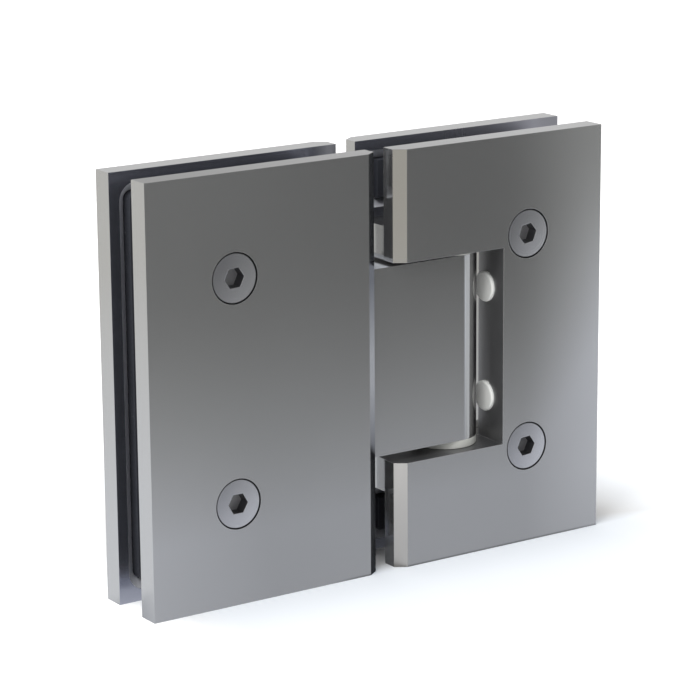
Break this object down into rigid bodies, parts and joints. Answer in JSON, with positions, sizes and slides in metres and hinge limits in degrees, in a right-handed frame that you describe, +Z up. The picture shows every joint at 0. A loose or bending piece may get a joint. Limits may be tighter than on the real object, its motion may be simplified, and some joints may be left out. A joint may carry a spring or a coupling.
{
  "type": "glass-to-glass shower hinge",
  "caption": "Gunmetal clamp hinge joining a fixed glass panel to a glass shower door: square bevelled plates, a notched door leaf on a round-nosed knuckle, flush socket screws",
  "frame": {"origin": "under the middle of the hinge, on the plane its plates stand on", "axes": "+X from the fixed leaf to the door leaf, front faces towards -Y, +Z up along the pin"},
  "size_m": [0.1136, 0.019, 0.09],
  "materials": {
    "leaf_metal": "satin gunmetal plating",
    "screw_metal": "satin gunmetal plating",
    "pin_steel": "ground steel",
    "spring_steel": "drawn wire",
    "white_nylon": "natural nylon",
    "plunger_acetal": "black acetal",
    "gasket_rubber": "matt black rubber"
  },
  "bodies": {
    "fixed_leaf": {"fixed_body": "leaf_metal", "fixed_rear_plate": "leaf_metal", "fixed_front_gasket": "gasket_rubber", "fixed_rear_gasket": "gasket_rubber", "fixed_upper_screw": "screw_metal", "fixed_lower_screw": "screw_metal", "upper_bush": "white_nylon", "lower_bush": "white_nylon", "upper_spring": "spring_steel", "lower_spring": "spring_steel", "upper_spring_plug": "pin_steel", "lower_spring_plug": "pin_steel"},
    "door_leaf": {"door_body": "leaf_metal", "door_rear_plate": "leaf_metal", "door_front_gasket": "gasket_rubber", "door_rear_gasket": "gasket_rubber", "door_upper_screw": "screw_metal", "door_lower_screw": "screw_metal", "pivot_pin": "pin_steel", "upper_buffer": "white_nylon", "lower_buffer": "white_nylon"},
    "upper_plunger": {"upper_plunger": "plunger_acetal"},
    "lower_plunger": {"lower_plunger": "plunger_acetal"}
  },
  "joints": [
    {"name": "door_swing", "type": "hinge", "parent": "fixed_leaf", "child": "door_leaf", "pos_m": [0.02187, 0, 0.045], "axis": [0, 0, 1], "range_deg": [-90, 90]},
    {"name": "upper_plunger_slide", "type": "slide", "parent": "fixed_leaf", "child": "upper_plunger", "axis": [1, 0, 0], "range_m": [0, 0.0008], "stiffness_N_per_m": 500, "springref_m": 0.003, "deforming": ["upper_spring"]},
    {"name": "lower_plunger_slide", "type": "slide", "parent": "fixed_leaf", "child": "lower_plunger", "axis": [1, 0, 0], "range_m": [0, 0.0008], "stiffness_N_per_m": 500, "springref_m": 0.003, "deforming": ["lower_spring"]}
  ]
}
